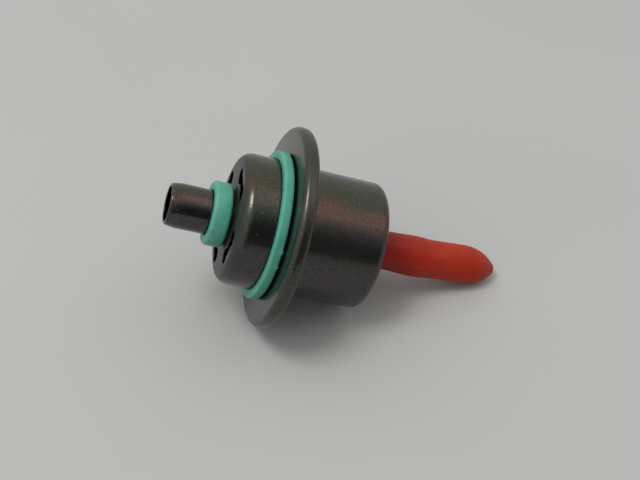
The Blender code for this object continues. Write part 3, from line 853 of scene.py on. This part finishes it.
PHOTO_RIGHT = Vector((0.93559, -0.0699, 0.34609))
PHOTO_UP = Vector((-0.2005, 0.70164, 0.68374))
CAMERA_PLACE_MM = Vector((-41.84, -124.57, 111.98))
LENS_MM = 56.25
SENSOR_MM = 36.0
NEAREST_SEEN = 5 * MM

FLOOR_BACK = FLOOR_UP.cross(PHOTO_RIGHT).normalized()
FLOOR_RIGHT = FLOOR_BACK.cross(FLOOR_UP)

LAMP_DISTANCE = 0.9
LAMP_SIZE = 0.3
LAMP_POWER = 2.7

BLACK = (0.0, 0.0, 0.0, 1.0)
WHITE = (1.0, 1.0, 1.0, 1.0)
DARK_FRONT = (0.09, 0.09, 0.1, 1.0)


def towards(right, back, up):
    """Direction from the object, measured along the table's right, back and up."""
    return (FLOOR_RIGHT * right + FLOOR_BACK * back + FLOOR_UP * up).normalized()


LAMP_WAY = towards(-0.3, -0.12, 0.95)
PHOTOGRAPHER_WAY = towards(0.42, -0.88, 0.2)
WINDOW_WAY = towards(0.62, 0.05, 0.78)


def turned_to(right, up, place):
    """Matrix whose own X, Y and Z are right, up and their normal, at a place."""
    axes = Matrix((right, up, right.cross(up))).transposed()
    return Matrix.Translation(place) @ axes.to_4x4()


def table_paper():
    """Pale matt paper that can't be seen from below."""
    finish = Finish("table_paper", {"Roughness": 0.75, "Specular IOR Level": 0.2})
    cloud = finish.noise(finish.place, scale=14.0, detail=2.0)
    finish.set(base_color=finish.mix(cloud, TABLE_DARK, TABLE_PALE))
    behind = finish.node("ShaderNodeNewGeometry", output="Backfacing")
    clear = finish.node("ShaderNodeBsdfTransparent")
    paper = Signal(finish, finish.shader.outputs[0])
    seen = finish.node("ShaderNodeMixShader", None, {0: behind, 1: paper, 2: clear})
    finish.feed(finish.tree.nodes["Material Output"].inputs["Surface"], seen)
    return finish.material


def add_table():
    """Flat table top that the regulator lies on."""
    shape = bmesh.new()
    bmesh.ops.create_grid(shape, x_segments=1, y_segments=1, size=TABLE_HALF)
    bmesh.ops.transform(
        shape,
        matrix=turned_to(FLOOR_RIGHT, FLOOR_BACK, -FLOOR_UP * FLOOR_DROP),
        verts=shape.verts,
    )
    mesh = bpy.data.meshes.new("table_top")
    shape.to_mesh(mesh)
    shape.free()
    mesh.materials.append(table_paper())
    top = bpy.data.objects.new("table_top", mesh)
    bpy.context.scene.collection.objects.link(top)


def add_lamp():
    """Square soft lamp overhead, a little to the left."""
    light = bpy.data.lights.new("left_softbox", "AREA")
    light.shape = "SQUARE"
    light.size = LAMP_SIZE
    light.energy = LAMP_POWER
    lamp = bpy.data.objects.new("left_softbox", light)
    aim = LAMP_WAY.to_track_quat("Z", "Y").to_matrix().to_4x4()
    lamp.matrix_world = Matrix.Translation(LAMP_WAY * LAMP_DISTANCE) @ aim
    bpy.context.scene.collection.objects.link(lamp)


def add_room():
    """Pale overhead with a bright window, dimmer at the horizon, and dark towards the camera."""
    world = bpy.data.worlds.new("room")
    world.use_nodes = True
    bpy.context.scene.world = world
    room = Graph(world.node_tree)
    way = room.node("ShaderNodeTexCoord", output="Generated")
    overhead = room.ramp(room.facing(way, FLOOR_UP), -0.1, 0.9, start=0.55, end=0.75)
    window = room.ramp(room.facing(way, WINDOW_WAY), 0.95, 0.99, end=0.7)
    pale = room.mix(overhead + window, BLACK, WHITE)
    dark = room.ramp(room.facing(way, PHOTOGRAPHER_WAY), 0.55, 1.0)
    background = world.node_tree.nodes["Background"]
    room.feed(background.inputs["Color"], room.mix(dark, pale, DARK_FRONT))
    room.feed(background.inputs["Strength"], 1.0)


def add_camera():
    """Camera where the photograph was taken from."""
    lens = bpy.data.cameras.new("photo_camera")
    lens.lens = LENS_MM
    lens.sensor_width = SENSOR_MM
    lens.clip_start = NEAREST_SEEN
    camera = bpy.data.objects.new("photo_camera", lens)
    camera.matrix_world = turned_to(PHOTO_RIGHT, PHOTO_UP, CAMERA_PLACE_MM * MM)
    bpy.context.scene.collection.objects.link(camera)
    bpy.context.scene.camera = camera


fuel_cup()
tube()
small_ring()
large_ring()
spring_can()
cap()
diaphragm()
main_spring()
finish_inner_pieces()

add_table()
add_room()
add_lamp()
add_camera()
bpy.context.scene.view_settings.view_transform = "Standard"
